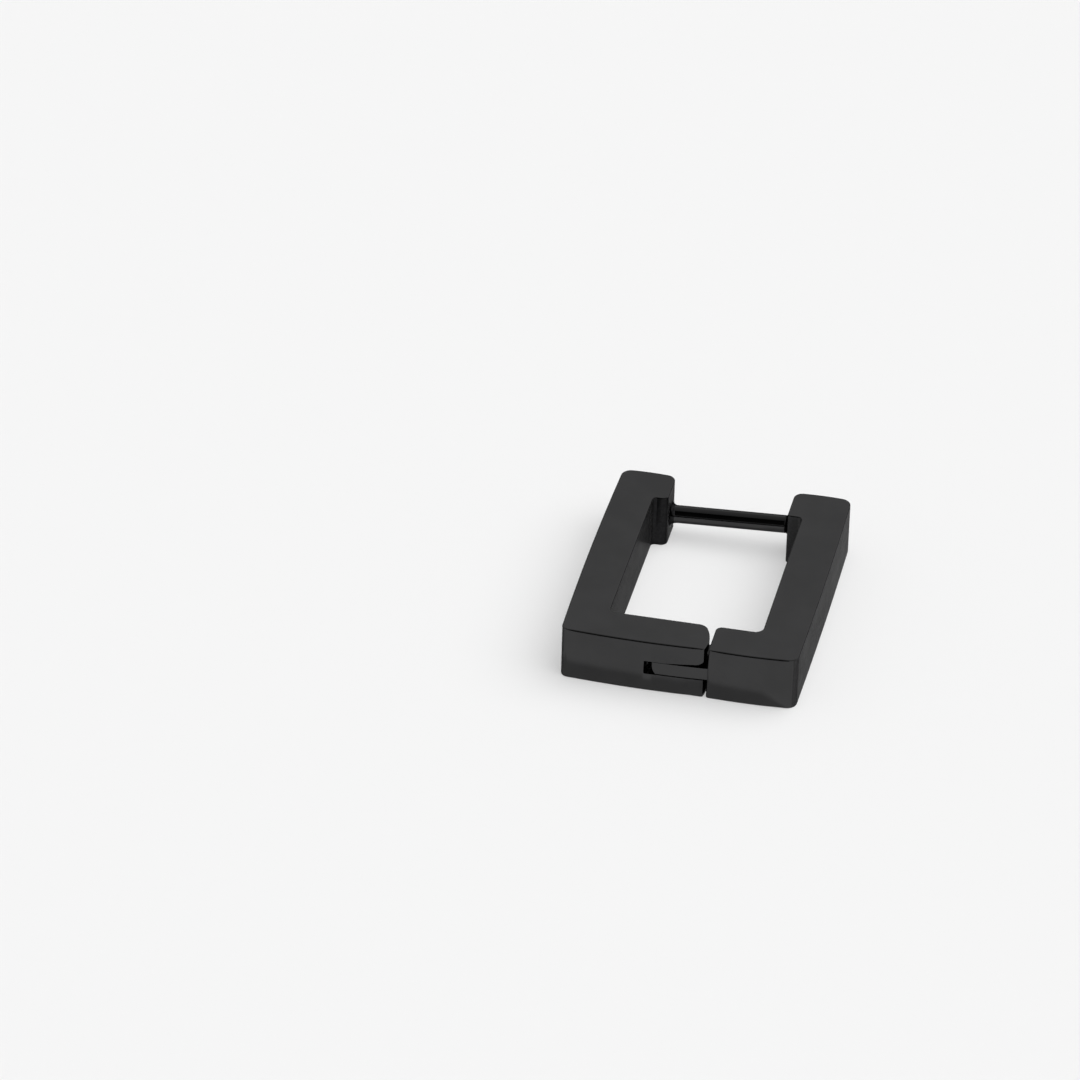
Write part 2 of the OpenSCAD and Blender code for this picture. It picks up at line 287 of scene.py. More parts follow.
# The hinge: the seam, the fork's two ears and their slot, and the tongue that turns in it
hingeSize = {
    "seamFromSide": 6.84, "lean": 0.05, "leanReach": 0.85, "leanFull": 1.4, "seamGap": 0.06, "seamEdge": 0.15,
    "earEnd": 2.4, "earTopIn": 0.72, "earCorner": 0.5, "earEdge": 0.08, "blockCorner": 0.3,
    "tongueLow": 0.94, "tongueHigh": 1.56, "playUnder": 0.035, "playOver": 0.015, "tongueReach": 2.49,
    "tongueEnd": 0.78, "tongueEndUp": 0.44, "slotEndGap": 0.38, "axisBack": 1.6, "axisIn": 0.68,
    "lipLength": 1.9, "lipRise": 0.16, "lipCorner": 0.5, "slotMouth": 0.01, "slotCorner": 0.04,
    "tongueLowEdge": 0.03, "tongueHighEdge": 0.006, "tongueMargin": 0.008, "tongueDeep": 0.5, "drawIn": 0.2,
    "earSteps": 12, "edgeSteps": 6, "lipSteps": 14, "slotSteps": 5, "mouthSteps": 4, "frontPoints": 16,
    "knucklePoints": 36, "endLevels": (0.1, 1, 9),
}
past = 0.5  # cutting shapes run past the metal by this much
seamX = leftX + hingeSize["seamFromSide"]
earTopX = seamX - hingeSize["seamGap"]
earEnd = np.array([earTopX - hingeSize["earEnd"], frontY + hingeSize["earTopIn"]])
tongueEndX = seamX - hingeSize["tongueReach"]
tongueLow, tongueHigh = hingeSize["tongueLow"], hingeSize["tongueHigh"]
slotEndX = tongueEndX - hingeSize["slotEndGap"]
slotLow, slotHigh = tongueLow - hingeSize["playUnder"], tongueHigh + hingeSize["playOver"]
axis = np.array([seamX - hingeSize["axisBack"], frontY + hingeSize["axisIn"]])
knuckle = math.hypot(tongueEndX - axis[0], hingeSize["axisIn"])


# The short half's face at the seam leans back above the tongue: a point moves along x by the lean times its
# height over the tongue, less with its distance from the seam.
def leaned(shape):
    points, faces = shape
    up = np.clip((points[:, 2] - tongueHigh) / (thickness - tongueHigh), 0, 1)
    near = np.clip(hingeSize["leanFull"] - (points[:, 0] - seamX) / hingeSize["leanReach"], 0, 1)
    points[:, 0] += hingeSize["lean"] * up * near
    return points, faces


# The fork's slot from the front: its roof slopes up off the tongue to the upper ear's round lower corner.
def slotOutline():
    farX, small, radius = earTopX + past, hingeSize["slotCorner"], hingeSize["lipCorner"]
    run = np.array([hingeSize["lipLength"], hingeSize["lipRise"]])
    start = np.array([earTopX - run[0], slotHigh])
    slope = run / np.linalg.norm(run)
    height = slotHigh + (run[0] - radius) * run[1] / run[0] + radius / slope[0]
    corner = np.array([earTopX - radius, height])
    return outline(
        arc((slotEndX + small, slotLow + small), small, (-1, 0), (0, -1), hingeSize["slotSteps"]),
        (farX, slotLow), (farX, height),
        arc(corner, radius, (1, 0), (slope[1], -slope[0]), hingeSize["lipSteps"]),
        start,
        arc((slotEndX + small, slotHigh - small), small, (0, 1), (-1, 0), hingeSize["slotSteps"]))


# The slot's cutter: its outline is carried through the bar along y, and opens out by a quarter round of the
# mouth's radius where it leaves the metal. The point for (u, v) is outline(u) moved inwards by inset(v), at
# depth(v) along -y.
def slotShape():
    mouth = hingeSize["slotMouth"]
    a = np.linspace(0, math.pi / 2, hingeSize["mouthSteps"] + 1)
    inset = np.concatenate([[-mouth], mouth * (np.sin(a) - 1), mouth * (np.cos(a) - 1), [-mouth]])
    near, far = mouth * (1 - np.cos(a)) - barY, mouth * (np.sin(a) - 1) - frontY
    depth = np.concatenate([[-barY - past], near, far, [-frontY + past]])
    loop = slotOutline()
    plan = loop[None, :, :] + inset[:, None, None] * insetWays(loop)[None, :, :]
    depth = np.broadcast_to(depth[:, None], plan.shape[:2])
    return np.stack([plan[..., 0], -depth, plan[..., 1]], axis=-1).reshape(-1, 3), ringFaces(*depth.shape)


# The tongue's edges as rows of inset and height: a small quarter round at each face, with a flat margin on both
# sides of it, and rings at the given levels between.
def tongueEdges(levels):
    lowEdge, highEdge = hingeSize["tongueLowEdge"], hingeSize["tongueHighEdge"]
    margin = hingeSize["tongueMargin"]
    a = np.linspace(0, math.pi / 2, hingeSize["mouthSteps"] + 1)
    lower = np.column_stack([lowEdge - lowEdge * np.sin(a), tongueLow + lowEdge - lowEdge * np.cos(a)])
    upper = np.column_stack([highEdge - highEdge * np.cos(a), tongueHigh - highEdge + highEdge * np.sin(a)])
    middle = [(0, level) for level in (tongueLow + lowEdge + margin, *levels, tongueHigh - highEdge - margin)]
    return np.vstack([(lowEdge + margin, tongueLow), lower, middle, upper, (highEdge + margin, tongueHigh)])


# The tongue as rings over each other: ring(v) is a strip of the bar that ends in a knuckle round the hinge's
# axis. The knuckle's radius shrinks towards its lower edge as a circle's arc, so the tongue's end is rounded
# below. Inside the block it draws in from the block's inner face, so that the two cross cleanly.
def tongueShape():
    rounding, up, drawIn = hingeSize["tongueEnd"], hingeSize["tongueEndUp"], hingeSize["drawIn"]
    rows = tongueEdges(tongueLow + up * np.linspace(*hingeSize["endLevels"]))
    inset, height = rows[:, :1], rows[:, 1:]
    below = np.clip(up - (height - tongueLow), 0, up)
    radius = knuckle - inset - (rounding - np.sqrt(rounding ** 2 - below ** 2))
    deep = seamX + hingeSize["tongueDeep"]
    cornerY = frontY + inset
    cornerX = axis[0] - np.sqrt(radius ** 2 - (cornerY - axis[1]) ** 2)
    x = cornerX + (deep - cornerX) * np.linspace(0, 1, hingeSize["frontPoints"])
    y = longFront[1] - np.sqrt(longSize["frontFace"] ** 2 - (x - longFront[0]) ** 2) + inset
    ones = np.ones_like(inset)
    backX = np.hstack([deep * ones, (seamX + drawIn) * ones, axis[0] + inset])
    backY = barY - inset - [drawIn, 0, 0]
    first = np.arccos(inset / radius)
    last = np.arctan2(cornerY - axis[1], cornerX - axis[0]) % (2 * math.pi)
    a = first + (last - first) * np.linspace(0, 1, hingeSize["knucklePoints"])[:-1]
    planX = np.hstack([x, backX, axis[0] + radius * np.cos(a)])
    planY = np.hstack([y, backY, axis[1] + radius * np.sin(a)])
    points = np.stack([planX, planY, np.broadcast_to(height, planX.shape)], axis=-1)
    return points.reshape(-1, 3), ringFaces(*planX.shape)


# The ear post, soldered into the long half's head
postSize = {
    "radius": 0.42, "rise": 0.29, "rootIn": 0.3, "ring": 0.18, "ringHeight": 0.02, "ringSink": 0.01,
    "shoulderGap": 0.03, "shoulderIn": 0.004, "noseEdge": 0.02, "nose": 0.32, "noseLength": 0.75, "tip": 0.2,
    "tipEdge": 0.08, "solder": 0.28, "solderIn": 0.15, "solderOut": 0.01, "solderSink": 0.03,
    "steps": 96, "ringPoints": 9, "solderPoints": 12,
}
postSpan = shortHeadX - longHeadX
postAngle = math.atan(postSize["rise"] / postSpan)
postRoot = Vector((longHeadX, endY - frameSize["headLength"] / 2, thickness / 2 - postSize["rise"] / 2))
catchZ = postRoot.z + (postSpan + postSize["noseLength"] / 2) * math.tan(postAngle)


# The post's profile: the shaft, a low round ring beside the catch, the shoulder and the nose.
def postProfile():
    radius, ring, sink = postSize["radius"], postSize["ring"], postSize["ringSink"]
    nose, noseEdge, tip, tipEdge = (postSize[key] for key in ("nose", "noseEdge", "tip", "tipEdge"))
    shoulder = postSpan - postSize["shoulderGap"]
    end = postSpan + postSize["noseLength"]
    t = np.linspace(0, 1, postSize["ringPoints"])
    bead = np.column_stack([shoulder - ring + ring * t,
                            radius - sink + (postSize["ringHeight"] + sink) * np.sin(math.pi * t)])
    return [(-postSize["rootIn"], radius), (shoulder - ring - sink, radius), *bead.tolist(),
            (shoulder + postSize["shoulderIn"], nose + noseEdge), (shoulder + noseEdge, nose),
            (end - tipEdge, tip), (end, tip - tipEdge)]


# The solder round the post's root: a concave quarter round that runs out on the shaft.
def solderProfile():
    radius, fillet = postSize["radius"], postSize["solder"]
    a = np.linspace(0, math.pi / 2, postSize["solderPoints"])
    rounded = np.column_stack([fillet - fillet * np.cos(a), radius + fillet - fillet * np.sin(a)])
    return [(-postSize["solderIn"], radius + fillet), *rounded.tolist(),
            (fillet + postSize["solderOut"], radius - postSize["solderSink"])]


# The hinge pin: its lower end shows, a little in from the face that the earring lies on
pinSize = {"radius": 0.33, "height": 2.0, "seatGap": 0.015, "play": 0.04, "chamfer": 0.05, "chamferBow": 0.3,
           "recess": 0.02, "mouth": 0.05, "endGap": 0.02, "passTop": 3.0, "steps": 72}


# The pin's profile: the chamfer at its lower end is bowed, and the one at its hidden end is plain.
def pinProfile():
    radius, height, chamfer, recess = (pinSize[key] for key in ("radius", "height", "chamfer", "recess"))
    bow = chamfer * pinSize["chamferBow"]
    return [(recess, radius - chamfer), (recess + bow, radius - bow), (recess + chamfer, radius),
            (height - chamfer, radius), (height, radius - chamfer)]


slotCutter = solid("slotCutter", slotShape())
pinHole, pinMouth = pinSize["radius"] + pinSize["seatGap"], pinSize["mouth"]
pinBore = solid("pinBore", turnedProfile(
    [(-past, pinHole + pinMouth), (0, pinHole + pinMouth), (pinMouth, pinHole),
     (pinSize["height"] + pinSize["endGap"], pinHole)], pinSize["steps"], (*axis, 0), (0, 0, 1)))
postSolid = solid("postSolid", turnedProfile(
    postProfile(), postSize["steps"], postRoot, (math.cos(postAngle), 0, math.sin(postAngle))))
solderSolid = solid("solderSolid", turnedProfile(solderProfile(), postSize["steps"], postRoot, (1, 0, 0)))
longLoop, shortLoop = longOutline(), shortOutline()
longHalf = finished(
    solid("longHalf", roundedSlab(longLoop, edgeWidths(longLoop))),
    [("DIFFERENCE", slotCutter), ("DIFFERENCE", pinBore), ("UNION", solderSolid), ("UNION", postSolid)])

tongue = solid("tongue", tongueShape())
pinPassage = pinSize["radius"] + pinSize["play"]
pinPass = solid("pinPass", turnedProfile(
    [(-past, pinPassage), (pinSize["passTop"], pinPassage)], pinSize["steps"], (*axis, 0), (0, 0, 1)))
catch, catchMouth = shortSize["catch"], shortSize["catchMouth"]
catchBore = solid("catchBore", turnedProfile(
    [(-past, catch + catchMouth), (0, catch + catchMouth), (catchMouth, catch), (shortSize["catchDepth"], catch)],
    shortSize["catchSteps"], (shortHeadX, postRoot.y, catchZ), (1, 0, 0)))
shortHalf = finished(
    solid("shortHalf", leaned(roundedSlab(shortLoop, edgeWidths(shortLoop), levels=(tongueHigh,)))),
    [("UNION", tongue), ("DIFFERENCE", pinPass), ("DIFFERENCE", catchBore)])

hingePin = finished(solid("hingePin", turnedProfile(pinProfile(), pinSize["steps"], (*axis, 0), (0, 0, 1))), [])
print("shapes made:", {o.name: len(o.data.polygons) for o in (longHalf, shortHalf, hingePin)})

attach(longHalf, "long_body")
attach(shortHalf, "short_body")
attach(hingePin, "long_body")
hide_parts("long_half")
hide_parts("short_half")
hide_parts("hinge_pin")


# Gives a group's node tree its named inputs and outputs, and both ends.
def groupWith(name, inputs, outputs):
    group = bpy.data.node_groups.new(name, "ShaderNodeTree")
    for label, value in inputs:
        socket = group.interface.new_socket(label, in_out="INPUT", socket_type="NodeSocketFloat")
        socket.default_value = value
    for label in outputs:
        group.interface.new_socket(label, in_out="OUTPUT", socket_type="NodeSocketFloat")
    return group, group.nodes.new("NodeGroupInput"), group.nodes.new("NodeGroupOutput")


# Object coordinates in millimetres, drawn out along each axis by the given stretch.
def objectPlace(nodes, links, stretch=(1, 1, 1)):
    place = nodes.new("ShaderNodeTexCoord")
    mapping = nodes.new("ShaderNodeMapping")
    mapping.inputs["Scale"].default_value = [s / mm for s in stretch]
    links.new(place.outputs["Object"], mapping.inputs["Vector"])
    return mapping.outputs["Vector"]


# A number goes into the socket itself, and anything else is linked to it.
def put(links, value, socket):
    if isinstance(value, (int, float)):
        socket.default_value = value
    else:
        links.new(value, socket)


# Noise. Its detail is a pair: the number of finer layers, and how strong each is beside the one before.
def noise(nodes, links, place, scale, detail):
    made = nodes.new("ShaderNodeTexNoise")
    made.inputs["Detail"].default_value, made.inputs["Roughness"].default_value = detail
    links.new(place, made.inputs["Vector"])
    put(links, scale, made.inputs["Scale"])
    return made.outputs["Fac"]


# Eases from toLow to toHigh while the value goes from low to high.
def ranged(nodes, links, value, low, high, toLow, toHigh):
    made = nodes.new("ShaderNodeMapRange")
    made.interpolation_type = "SMOOTHSTEP"
    for label, amount in (("From Min", low), ("From Max", high), ("To Min", toLow), ("To Max", toHigh)):
        put(links, amount, made.inputs[label])
    links.new(value, made.inputs["Value"])
    return made.outputs["Result"]


def maths(nodes, links, operation, a, b=0):
    made = nodes.new("ShaderNodeMath")
    made.operation = operation
    put(links, a, made.inputs[0])
    put(links, b, made.inputs[1])
    return made.outputs[0]


# A colour that goes from the first to the second as the mask goes from 0 to 1.
def mixedColour(nodes, links, mask, first, second):
    mix = nodes.new("ShaderNodeMix")
    mix.data_type = "RGBA"
    for value, socket in ((first, mix.inputs[6]), (second, mix.inputs[7])):
        if isinstance(value, tuple):
            socket.default_value = (*value, 1)
        else:
            links.new(value, socket)
    links.new(mask, mix.inputs[0])
    return mix.outputs[2]


# Polish: hair-fine lines along the arms, as the last buffing leaves them, over the slow, weak waves that hand
# polishing leaves in a flat face. The height is in millimetres. The clouds vary the tone and the gloss.
polishPattern = {
    "lineStretch": (1, 0.06, 1), "lineDetail": (3, 0.6), "lineShare": 0.5,
    "cloudScale": 0.55, "cloudDetail": (3, 0.55), "cloudSpan": (0.3, 0.7),
    "waveScale": 0.35, "waveDetail": (1, 0.4), "glossSpan": (0.35, 0.65),
}


def makePolish():
    group, ends, out = groupWith(
        "polish", [("Roughness", 0.12), ("Spread", 0.05), ("Line Scale", 14.0), ("Line Depth", 0.0004),
                   ("Wave Depth", 0.012)], ["Roughness", "Height", "Clouds"])
    nodes, links, look = group.nodes, group.links, polishPattern
    place, stretched = objectPlace(nodes, links), objectPlace(nodes, links, look["lineStretch"])
    lines = noise(nodes, links, stretched, ends.outputs["Line Scale"], look["lineDetail"])
    clouds = noise(nodes, links, place, look["cloudScale"], look["cloudDetail"])
    waves = noise(nodes, links, place, look["waveScale"], look["waveDetail"])
    both = maths(nodes, links, "ADD", maths(nodes, links, "MULTIPLY", lines, look["lineShare"]),
                 maths(nodes, links, "MULTIPLY", clouds, 1 - look["lineShare"]))
    height = maths(nodes, links, "ADD", maths(nodes, links, "MULTIPLY", lines, ends.outputs["Line Depth"]),
                   maths(nodes, links, "MULTIPLY", waves, ends.outputs["Wave Depth"]))
    half = maths(nodes, links, "MULTIPLY", ends.outputs["Spread"], 0.5)
    low = maths(nodes, links, "SUBTRACT", ends.outputs["Roughness"], half)
    high = maths(nodes, links, "ADD", ends.outputs["Roughness"], half)
    links.new(ranged(nodes, links, both, *look["glossSpan"], low, high), out.inputs["Roughness"])
    links.new(height, out.inputs["Height"])
    links.new(clouds, out.inputs["Clouds"])
    return group


# Cast grain: small pits and grains, as metal keeps where no polishing wheel reaches. Low and High are the
# roughness between which broad patches vary.
grainPattern = {"fineDetail": (5, 0.7), "fineShare": 0.75, "patchScale": 1.6, "patchDetail": (2, 0.5),
                "glossSpan": (0.35, 0.65), "pitSpan": (0.42, 0.6)}


def makeGrain():
    group, ends, out = groupWith(
        "castGrain", [("Grain Scale", 9.0), ("Low", 0.3), ("High", 0.5)], ["Roughness", "Height", "Pits"])
    nodes, links, look = group.nodes, group.links, grainPattern
    place = objectPlace(nodes, links)
    fine = noise(nodes, links, place, ends.outputs["Grain Scale"], look["fineDetail"])
    broad = noise(nodes, links, place, look["patchScale"], look["patchDetail"])
    height = maths(nodes, links, "ADD", maths(nodes, links, "MULTIPLY", fine, look["fineShare"]),
                   maths(nodes, links, "MULTIPLY", broad, 1 - look["fineShare"]))
    gloss = ranged(nodes, links, broad, *look["glossSpan"], ends.outputs["Low"], ends.outputs["High"])
    links.new(gloss, out.inputs["Roughness"])
    links.new(height, out.inputs["Height"])
    links.new(ranged(nodes, links, fine, *look["pitSpan"], 0, 1), out.inputs["Pits"])
    return group


# Edge wear: a mask that is 1 on the rounded arrises, broken up as handling wears them, from the piece's own
# attribute arris.
wearPattern = {"patchDetail": (4, 0.6), "patchSpan": (0.4, 0.62), "least": 0.25}


def makeWear():
    group, ends, out = groupWith("edgeWear", [("Patch Scale", 2.2)], ["Mask"])
    nodes, links, look = group.nodes, group.links, wearPattern
    arris = nodes.new("ShaderNodeAttribute")
    arris.attribute_name = "arris"
    patches = noise(nodes, links, objectPlace(nodes, links), ends.outputs["Patch Scale"], look["patchDetail"])
    worn = ranged(nodes, links, patches, *look["patchSpan"], look["least"], 1)
    links.new(maths(nodes, links, "MULTIPLY", arris.outputs["Fac"], worn), out.inputs["Mask"])
    return group


polish, castGrain, edgeWear = makePolish(), makeGrain(), makeWear()


def placed(nodes, group, **values):
    made = nodes.new("ShaderNodeGroup")
    made.node_tree = group
    for label, value in values.items():
        made.inputs[label].default_value = value
    return made


def metal(name, look):
    made = bpy.data.materials.new(name)
    made.use_nodes = True
    nodes, links = made.node_tree.nodes, made.node_tree.links
    shader = nodes["Principled BSDF"]
    shader.inputs["Metallic"].default_value = look["metallic"]
    shader.inputs["IOR"].default_value = look["ior"]
    shader.inputs["Specular Tint"].default_value = (look["edgeTint"],) * 3 + (1,)
    return made, nodes, links, shader


def bumped(nodes, links, height, shader, look):
    bump = nodes.new("ShaderNodeBump")
    bump.inputs["Strength"].default_value = look["bump"]
    bump.inputs["Distance"].default_value = look["depth"] * mm
    links.new(height, bump.inputs["Height"])
    links.new(bump.outputs["Normal"], shader.inputs["Normal"])


# Polished black plating: clouded a little in tone, finely lined, and of another tone on its worn arrises.
def blackPlating(name, look):
    made, nodes, links, shader = metal(name, look)
    finish = placed(nodes, polish, Roughness=look["roughness"], Spread=look["spread"])
    wear = placed(nodes, edgeWear)
    clouds = ranged(nodes, links, finish.outputs["Clouds"], *polishPattern["cloudSpan"], 0, 1)
    clouded = mixedColour(nodes, links, clouds, look["low"], look["high"])
    worn = mixedColour(nodes, links, wear.outputs["Mask"], clouded, look["worn"])
    links.new(worn, shader.inputs["Base Color"])
    links.new(finish.outputs["Roughness"], shader.inputs["Roughness"])
    bumped(nodes, links, finish.outputs["Height"], shader, look)
    return made, nodes, links, shader, worn


platingLook = {"low": (0.096, 0.096, 0.097), "high": (0.106, 0.106, 0.107), "worn": (0.09, 0.09, 0.092),
               "metallic": 1, "ior": 1.5, "edgeTint": 0.39, "roughness": 0.12, "spread": 0.05,
               "bump": 1.0, "depth": 1.0}
plating = blackPlating("blackPlating", platingLook)[0]

# The arms' sides are satin
satinLook = {"low": (0.063, 0.063, 0.064), "high": (0.07, 0.07, 0.071), "worn": (0.06, 0.06, 0.062),
             "metallic": 0.5, "ior": 1.02, "edgeTint": 0.39, "roughness": 0.24, "spread": 0.08,
             "bump": 1.0, "depth": 1.0}
satinSide = blackPlating("satinSide", satinLook)[0]

# The bar's inner face and the heads' near faces are plated over the cast surface. In the long half their darker
# tone is painted shade, standing in for shade on the left head's near face and the bar's inner face inside the
# opening
longCastShadedLook = {"low": (0.026, 0.026, 0.027), "high": (0.038, 0.038, 0.039), "metallic": 1, "ior": 1.5,
                "edgeTint": 0.4, "smooth": 0.15, "rough": 0.22, "bump": 0.12, "depth": 0.02}
shortCastLook = {**longCastShadedLook, "low": (0.05, 0.05, 0.051), "high": (0.066, 0.066, 0.067)}


def castFinish(name, look):
    made, nodes, links, shader = metal(name, look)
    grain = placed(nodes, castGrain, Low=look["smooth"], High=look["rough"])
    pitted = mixedColour(nodes, links, grain.outputs["Pits"], look["low"], look["high"])
    links.new(pitted, shader.inputs["Base Color"])
    links.new(grain.outputs["Roughness"], shader.inputs["Roughness"])
    bumped(nodes, links, grain.outputs["Height"], shader, look)
    return made


# The long half's cast copy is darkened by painted shade; the short half's keeps the plain cast tone
longCastShaded, shortCast = castFinish("longCastShaded", longCastShadedLook), castFinish("shortCast", shortCastLook)

# The post is polished round, with a near-black band of painted shade beside the catch, over its low round ring
postLook = {"low": (0.088, 0.088, 0.089), "high": (0.097, 0.097, 0.098), "worn": (0.085, 0.085, 0.087),
            "metallic": 1, "ior": 1.5, "edgeTint": 0.39, "roughness": 0.12, "spread": 0.05,
            "bump": 1.0, "depth": 1.0, "ringShadeTone": (0.004, 0.004, 0.004), "ringShadeFade": 0.02}


# A band of painted shade, near black, where x lies beside the catch, over the polished plating: it stands in for
# the shade in the gap where the post meets the catch.
def shadeRingedPost():
    made, nodes, links, shader, worn = blackPlating("postPolishShadeRing", postLook)
    place = nodes.new("ShaderNodeTexCoord")
    split = nodes.new("ShaderNodeSeparateXYZ")
    links.new(place.outputs["Object"], split.inputs[0])
    fade, sink = postLook["ringShadeFade"] * mm, postSize["ringSink"]
    start = (shortHeadX - postSize["shoulderGap"] - postSize["ring"] - sink) * mm
    end = (shortHeadX - postSize["shoulderGap"] + sink) * mm
    # ring is the mask of the band of painted shade beside the catch
    ring = maths(nodes, links, "MULTIPLY", ranged(nodes, links, split.outputs["X"], start, start + fade, 0, 1),
                 ranged(nodes, links, split.outputs["X"], end, end + fade, 1, 0))
    links.new(mixedColour(nodes, links, ring, worn, postLook["ringShadeTone"]), shader.inputs["Base Color"])
    return made


postPolishShadeRing = shadeRingedPost()

# The pin's end is dark steel, turned flat, with fine rings left by the tool
pinLook = {"low": (0.07, 0.07, 0.074), "high": (0.12, 0.12, 0.126), "metallic": 1, "ior": 1.5, "edgeTint": 0.5,
           "smooth": 0.24, "rough": 0.34, "ringScale": 9, "wobble": 0.6, "bump": 0.25, "depth": 0.004}


def turnedSteel():
    made, nodes, links, shader = metal("pinSteel", pinLook)
    place = nodes.new("ShaderNodeTexCoord")
    mapping = nodes.new("ShaderNodeMapping")
    mapping.inputs["Location"].default_value = (-axis[0], -axis[1], 0)
    mapping.inputs["Scale"].default_value = (1 / mm, 1 / mm, 0)
    links.new(place.outputs["Object"], mapping.inputs["Vector"])
    rings = nodes.new("ShaderNodeTexWave")
    rings.wave_type, rings.rings_direction = "RINGS", "SPHERICAL"
    rings.inputs["Scale"].default_value = pinLook["ringScale"]
    rings.inputs["Distortion"].default_value = pinLook["wobble"]
    links.new(mapping.outputs["Vector"], rings.inputs["Vector"])
    mark = rings.outputs["Fac"]
    links.new(mixedColour(nodes, links, mark, pinLook["low"], pinLook["high"]), shader.inputs["Base Color"])
    gloss = ranged(nodes, links, mark, 0, 1, pinLook["smooth"], pinLook["rough"])
    links.new(gloss, shader.inputs["Roughness"])
    bumped(nodes, links, mark, shader, pinLook)
    return made


pinSteel = turnedSteel()

# Where each finish lies, in millimetres, and how far a face has to turn towards an axis to count as facing it
finishPlaces = {"beside": 0.03, "headRound": 0.4, "barRound": 0.3, "wallFacing": 0.5, "sideFacing": 0.6,
                "sideFrom": 2.5, "postStart": 0.004, "postPast": 1.2, "solderOver": 0.012,
                "arrisLow": 0.12, "arrisHigh": 0.95, "arrisFade": 0.15}


# Sorts a half's faces by where they lie: the rough solder, the post, the walls that face along the arms inside
# the opening, the arms' sides, and all the rest. It also writes the attribute arris: 1 where a vertex normal
# leans between upright and level, 0 on flat faces.
def dress(obj, finishes):
    mesh, at = obj.data, finishPlaces
    mesh.materials.clear()
    for finish in finishes:
        mesh.materials.append(finish)
    count = len(mesh.polygons)
    middle, facing = np.empty(count * 3), np.empty(count * 3)
    mesh.polygons.foreach_get("center", middle)
    mesh.polygons.foreach_get("normal", facing)
    x, y, z = middle.reshape(-1, 3).T / mm
    toRight, toBack, _ = facing.reshape(-1, 3).T
    onHeads = (y > 0) & (toBack < -at["wallFacing"]) & (y < headY + at["headRound"])
    onBar = (y <= 0) & (toBack > at["wallFacing"]) & (y > barY - at["barRound"])
    walls = (x > longArmX - at["beside"]) & (x < shortArmX + at["beside"]) & (onHeads | onBar)
    sides = (np.abs(toRight) > at["sideFacing"]) & (np.abs(x) > at["sideFrom"])
    postZ = postRoot.z + (x - postRoot.x) * math.tan(postAngle)
    fromPost = np.hypot(y - postRoot.y, z - postZ)
    onPost = (x > longHeadX + at["postStart"]) & (x < shortHeadX + at["postPast"])
    onPost = onPost & (fromPost < postSize["radius"] + postSize["solder"])
    solder = onPost & (fromPost > postSize["radius"] + at["solderOver"]) & (x < longHeadX + postSize["solder"])
    index = np.select([solder, onPost & (len(finishes) > 3), walls, sides], [1, 3, 1, 2], 0).astype(np.int32)
    mesh.polygons.foreach_set("material_index", index)
    lean = np.empty(len(mesh.vertices) * 3)
    mesh.vertices.foreach_get("normal", lean)
    lean = np.abs(lean.reshape(-1, 3)[:, 2])
    arris = np.clip(np.minimum(lean - at["arrisLow"], at["arrisHigh"] - lean) / at["arrisFade"], 0, 1)
    mesh.attributes.new("arris", "FLOAT", "POINT").data.foreach_set("value", arris.astype(np.float32))


# The long half's walls inside the opening take the cast finish darkened by painted shade
dress(longHalf, [plating, longCastShaded, satinSide, postPolishShadeRing])
dress(shortHalf, [plating, shortCast, satinSide])
hingePin.data.materials.clear()
hingePin.data.materials.append(pinSteel)
print("finishes made")

# Two sheets of paper lie in one place: the camera sees the one, and the polished metal mirrors the other. Each
# has its own lamps, since the photograph's floor is lit softly but shows a crisp shadow in the front face.
studio = {
    "floorTone": 0.82, "floorReach": 1,
    "soft": {"strength": 1.5, "spread": 76, "height": 62, "side": 76, "shadow": True},
    "even": {"strength": 1.52, "spread": 10, "height": 90, "side": 0, "shadow": False},
    "key": {"strength": 0.74, "spread": 8, "height": 55, "side": 47, "shadow": True},
    "wash": {"strength": 0.47, "spread": 10, "height": 90, "side": 0, "shadow": False},
}


# A square sheet of matt paper at height 0, as far as the reach in metres each way, that throws no shadow.
def paperSheet(name):
    mesh, reach = bpy.data.meshes.new(name), studio["floorReach"]
    corners = [(-reach, -reach, 0), (reach, -reach, 0), (reach, reach, 0), (-reach, reach, 0)]
    mesh.from_pydata(corners, [], [(0, 1, 2, 3)])
    sheet = bpy.data.objects.new(name, mesh)
    scene.collection.objects.link(sheet)
    paper = bpy.data.materials.new(name + "Paper")
    paper.use_nodes = True
    shader = paper.node_tree.nodes["Principled BSDF"]
    shader.inputs["Base Color"].default_value = (studio["floorTone"],) * 3 + (1,)
    shader.inputs["Roughness"].default_value = 1
    shader.inputs["Specular IOR Level"].default_value = 0
    mesh.materials.append(paper)
    sheet.visible_shadow = False
    return sheet


floor = paperSheet("floor")
floor.visible_glossy = False
mirroredFloor = paperSheet("mirroredFloor")
mirroredFloor.visible_camera = False
mirroredFloor.visible_diffuse = False


# A far lamp of the given spread that lights one sheet alone and shows in no reflection.
def lamp(name, look, sheet):
    data = bpy.data.lights.new(name, "SUN")
    data.energy = look["strength"]
    data.angle = math.radians(look["spread"])
    data.use_shadow = look["shadow"]
    made = bpy.data.objects.new(name, data)
    scene.collection.objects.link(made)
    high, side = math.radians(look["height"]), math.radians(look["side"])
    toLamp = Vector((math.cos(high) * math.sin(side), math.cos(high) * math.cos(side), math.sin(high)))
    made.rotation_euler = toLamp.to_track_quat("Z", "Y").to_euler()
    made.visible_glossy = False
    lit = bpy.data.collections.new(name + "Lights")
    lit.objects.link(sheet)
    made.light_linking.receiver_collection = lit


lamp("softLamp", studio["soft"], floor)
lamp("evenLamp", studio["even"], floor)
lamp("keyLamp", studio["key"], mirroredFloor)
lamp("washLamp", studio["wash"], mirroredFloor)

